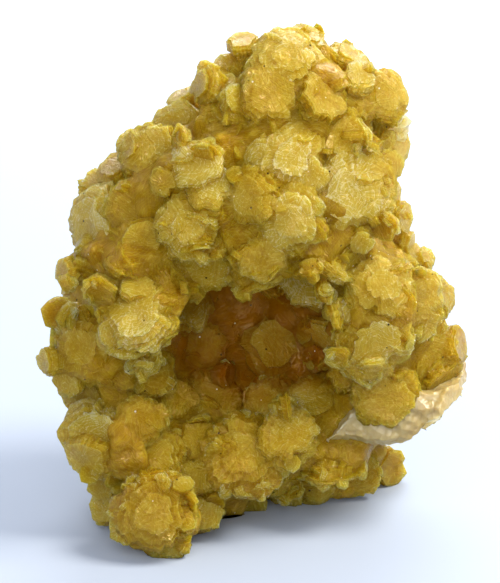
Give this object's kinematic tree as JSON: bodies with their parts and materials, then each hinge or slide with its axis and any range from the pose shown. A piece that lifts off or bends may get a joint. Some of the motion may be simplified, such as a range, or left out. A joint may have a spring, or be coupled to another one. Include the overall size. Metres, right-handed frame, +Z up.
{
  "type": "mineral specimen",
  "caption": "Hand-sized lepidolite specimen: rounded, stepped mica books, straw yellow to amber, grown together round an open hollow, with a slab of pale albite matrix low on one side.",
  "frame": {"origin": "centre of the underside of the specimen's bounding box", "axes": "+Z up, as it stands; -Y towards the viewer of the display side, which holds the hollow"},
  "size_m": [0.0714, 0.0448, 0.0824],
  "materials": {
    "mica": "translucent straw-yellow to amber mica, pearly on the plate faces",
    "albite": "pale granular feldspar, sugary and sparkling"
  },
  "bodies": {
    "root": {"lepidolite_crystals": "mica", "albite_matrix": "albite"}
  },
  "joints": []
}
